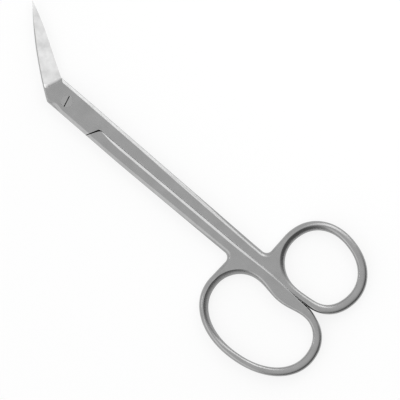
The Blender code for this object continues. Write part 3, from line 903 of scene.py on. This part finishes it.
def build_screw(satin, painted_shade):
    """A stepped pin: thread in the back half, neck and head in the front half, both ends flush."""
    neck_foot = THICKNESS - PLATE_FLOOR + SCREW_GAP
    head_foot = THICKNESS - HEAD_DEPTH
    head = HEAD_DIAMETER / 2
    profile = [
        (THREAD_DIAMETER / 2, 0),
        (THREAD_DIAMETER / 2, neck_foot),
        (NECK_DIAMETER / 2, neck_foot),
        (NECK_DIAMETER / 2, head_foot),
        (head, head_foot),
        (head, THICKNESS - HEAD_EDGE_BREAK),
        (head - HEAD_EDGE_BREAK, THICKNESS),
    ]
    made = solid("pivot_screw_steel", [[flat_row(circle(radius), height) for radius, height in profile]])
    made.data.materials.append(satin)
    corners = np.array([(-1, -1), (1, -1), (1, 1), (-1, 1)]) * (HEAD_DIAMETER, SLOT_WIDTH / 2)
    slot = prism("slot_cutter", corners, THICKNESS - SLOT_DEPTH, THICKNESS + CUTTER_MARGIN)
    slot.rotation_euler = (0, 0, SLOT_ANGLE)
    # The slot's faces take the painted shade.
    cut(made, slot, painted_shade)
    settle(made)
    return made


# Studio

def frame_point(pixel):
    """The part's X and Y in metres under a pixel of the photograph."""
    dx, dy = pixel[0] - PIVOT_PIXEL[0], pixel[1] - PIVOT_PIXEL[1]
    x = (dx * math.cos(TURN) + dy * math.sin(TURN)) * MM_PER_PIXEL
    y = (dx * math.sin(TURN) - dy * math.cos(TURN)) * MM_PER_PIXEL
    return x * MM, y * MM


def build_camera():
    """Straight over the table. The photograph's scale holds at half the scissors' thickness."""
    data = bpy.data.cameras.new("camera")
    width = FRAME_PIXELS * MM_PER_PIXEL * MM
    data.lens = data.sensor_width * (CAMERA_HEIGHT - THICKNESS / 2 * MM) / width
    data.clip_end = CAMERA_REACH
    camera = bpy.data.objects.new("camera", data)
    x, y = frame_point((FRAME_PIXELS / 2, FRAME_PIXELS / 2))
    camera.location = (x, y, CAMERA_HEIGHT)
    camera.rotation_euler = (0, 0, TURN)
    bpy.context.scene.collection.objects.link(camera)
    bpy.context.scene.camera = camera


def build_lamp(lamp):
    """A soft box aimed at a point on the X axis."""
    data = bpy.data.lights.new(lamp.name, "AREA")
    data.shape = "SQUARE"
    data.size = lamp.size
    data.energy = lamp.power
    made = bpy.data.objects.new(lamp.name, data)
    a, e = math.radians(lamp.azimuth), math.radians(lamp.elevation)
    toward = np.array((math.cos(a) * math.cos(e), math.sin(a) * math.cos(e), math.sin(e)))
    made.location = np.array((lamp.aim_x, 0, 0)) + toward * lamp.distance
    made.rotation_euler = (0, math.pi / 2 - e, a)
    bpy.context.scene.collection.objects.link(made)


def build_world():
    """A pale room that is darker beyond the finger rings."""
    world = bpy.data.worlds.new("studio")
    world.use_nodes = True
    nodes, links = world.node_tree.nodes, world.node_tree.links
    place = nodes.new("ShaderNodeTexCoord")
    axes = nodes.new("ShaderNodeSeparateXYZ")
    links.new(place.outputs["Generated"], axes.inputs["Vector"])
    light = mapped(nodes, links, axes.outputs["X"], (0, ROOM_DARK_FROM), (ROOM_LIGHT, ROOM_DARK),
                   "SMOOTHSTEP")
    links.new(light, nodes["Background"].inputs["Strength"])
    nodes["Background"].inputs["Color"].default_value = (1, 1, 1, 1)
    bpy.context.scene.world = world


def white_table():
    """Matt white, with a glow that the camera, metal and glass see and that lights nothing else."""
    material, nodes, links, shader = new_material("white_table")
    shader.inputs["Base Color"].default_value = (TABLE_WHITE, TABLE_WHITE, TABLE_WHITE, 1)
    shader.inputs["Roughness"].default_value = TABLE_ROUGHNESS
    shader.inputs["Specular IOR Level"].default_value = TABLE_SPECULAR
    rays = nodes.new("ShaderNodeLightPath")
    seen = None
    for kind in ("Is Camera Ray", "Is Glossy Ray", "Is Transmission Ray"):
        share = nodes.new("ShaderNodeMath")
        share.operation = "MULTIPLY_ADD"
        share.inputs[1].default_value = TABLE_GLOW
        share.inputs[2].default_value = 0
        links.new(rays.outputs[kind], share.inputs[0])
        if seen:
            links.new(seen, share.inputs[2])
        seen = share.outputs["Value"]
    white = nodes.new("ShaderNodeEmission")
    mix = nodes.new("ShaderNodeMixShader")
    links.new(seen, mix.inputs["Fac"])
    links.new(shader.outputs["BSDF"], mix.inputs[1])
    links.new(white.outputs["Emission"], mix.inputs[2])
    links.new(mix.outputs["Shader"], nodes["Material Output"].inputs["Surface"])
    return material


def build_floor():
    reach = FLOOR_SIZE / 2
    corners = [(-reach, -reach, 0), (reach, -reach, 0), (reach, reach, 0), (-reach, reach, 0)]
    mesh = bpy.data.meshes.new("table")
    mesh.from_pydata(corners, [], [(0, 1, 2, 3)])
    floor = bpy.data.objects.new("table", mesh)
    bpy.context.scene.collection.objects.link(floor)
    mesh.materials.append(white_table())


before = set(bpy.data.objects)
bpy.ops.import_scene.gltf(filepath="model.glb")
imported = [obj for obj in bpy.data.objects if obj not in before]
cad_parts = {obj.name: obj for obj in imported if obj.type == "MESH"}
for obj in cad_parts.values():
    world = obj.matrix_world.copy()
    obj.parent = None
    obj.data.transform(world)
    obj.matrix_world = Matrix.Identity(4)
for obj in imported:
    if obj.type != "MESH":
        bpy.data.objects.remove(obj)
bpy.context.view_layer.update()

halves_steel = steel("satin_steel", tone=0.32, roughness=0.27, grain=0.25,
                     grain_stretch=(0.25, 1, 1), mottle=0.06, patch_scale=180, highlight_gain=1.6)
ground_steel = steel("ground_steel", tone=0.63, roughness=0.4, grain=0.3,
                     grain_stretch=(1, 1, 1), mottle=0.14, patch_scale=250, highlight_gain=1.1)
lap_steel = steel("lap_steel", tone=0.45, roughness=0.33, grain=0.25,
                  grain_stretch=(1, 0.25, 1), mottle=0.05, patch_scale=420, highlight_gain=1.6)
screw_steel = steel("screw_steel", tone=0.345, roughness=0.25, grain=0.2,
                    grain_stretch=(1, 1, 1), mottle=0.02, patch_scale=420, highlight_gain=1.6)
# Painted shade where the ground face runs out at the heel.
painted_heel_shade(ground_steel)
# Near-black painted shade for the slot and the shoulder's groove.
painted_shade = painted_shade_material()

for half in (FRONT, BACK):
    piece = build_half(half, halves_steel, ground_steel, lap_steel, painted_shade)
    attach(piece, half.body)
    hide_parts(half.name)
screw = build_screw(screw_steel, painted_shade)
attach(screw, "back")
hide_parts("pivot_screw")

build_floor()
build_world()
for lamp in LAMPS:
    build_lamp(lamp)
build_camera()
bpy.context.scene.view_settings.view_transform = "Standard"
